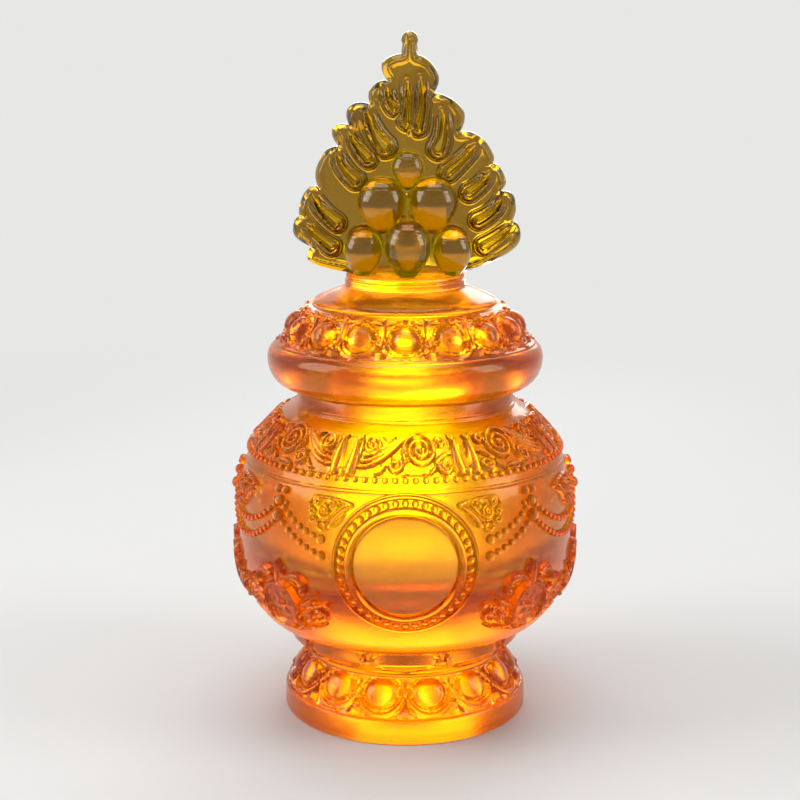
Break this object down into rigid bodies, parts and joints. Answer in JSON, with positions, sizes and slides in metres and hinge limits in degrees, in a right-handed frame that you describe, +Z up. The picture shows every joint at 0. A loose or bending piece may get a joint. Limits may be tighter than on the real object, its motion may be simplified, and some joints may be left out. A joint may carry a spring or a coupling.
{
  "type": "treasure vase",
  "caption": "Himalayan treasure vase of translucent amber cast glass: round bowl on a lotus foot, domed lid that lifts off, and a flame halo finial with clustered jewels.",
  "frame": {"origin": "middle of the foot's flat underside", "axes": "+Z up, the flame plate lies along X and the front roundel faces -Y"},
  "size_m": [0.1244, 0.1258, 0.2399],
  "materials": {
    "amber_glass": "satin cast glass, clear yellow where thin and deep orange where thick",
    "golden_glass": "fire-polished cast glass",
    "flame_glass": "satin cast glass, deep amber"
  },
  "bodies": {
    "vase": {"foot_pedestal": "amber_glass", "foot_lotus_petals": "amber_glass", "bowl_lotus_collar": "amber_glass", "bowl": "amber_glass", "shoulder_scroll_band": "amber_glass", "shoulder_pearl_ring": "amber_glass", "front_roundel_frame": "amber_glass", "front_roundel_pearls": "amber_glass", "front_roundel_lens": "golden_glass", "back_roundel_frame": "amber_glass", "back_roundel_pearls": "amber_glass", "back_roundel_lens": "golden_glass", "right_pearl_swags": "amber_glass", "left_pearl_swags": "amber_glass", "scroll_pendant_1": "amber_glass", "scroll_pendant_2": "amber_glass", "scroll_pendant_3": "amber_glass", "scroll_pendant_4": "amber_glass", "scroll_pendant_5": "amber_glass", "scroll_pendant_6": "amber_glass", "scroll_pendant_7": "amber_glass", "scroll_pendant_8": "amber_glass", "lotus_spray_1": "amber_glass", "lotus_spray_2": "amber_glass", "lotus_spray_3": "amber_glass", "lotus_spray_4": "amber_glass", "lotus_spray_5": "amber_glass", "lotus_spray_6": "amber_glass"},
    "lid": {"lid": "amber_glass", "lid_cabochon_ring": "amber_glass", "finial_plinth": "amber_glass", "flame_halo": "flame_glass", "front_jewel_1": "golden_glass", "front_jewel_2": "golden_glass", "front_jewel_3": "golden_glass", "front_jewel_4": "golden_glass", "front_jewel_5": "golden_glass", "front_jewel_6": "golden_glass", "back_jewel_1": "golden_glass", "back_jewel_2": "golden_glass", "back_jewel_3": "golden_glass", "back_jewel_4": "golden_glass", "back_jewel_5": "golden_glass", "back_jewel_6": "golden_glass"}
  },
  "joints": [
    {"name": "lid_lift", "type": "slide", "parent": "vase", "child": "lid", "axis": [0, 0, 1], "range_m": [0, 0.06]}
  ]
}
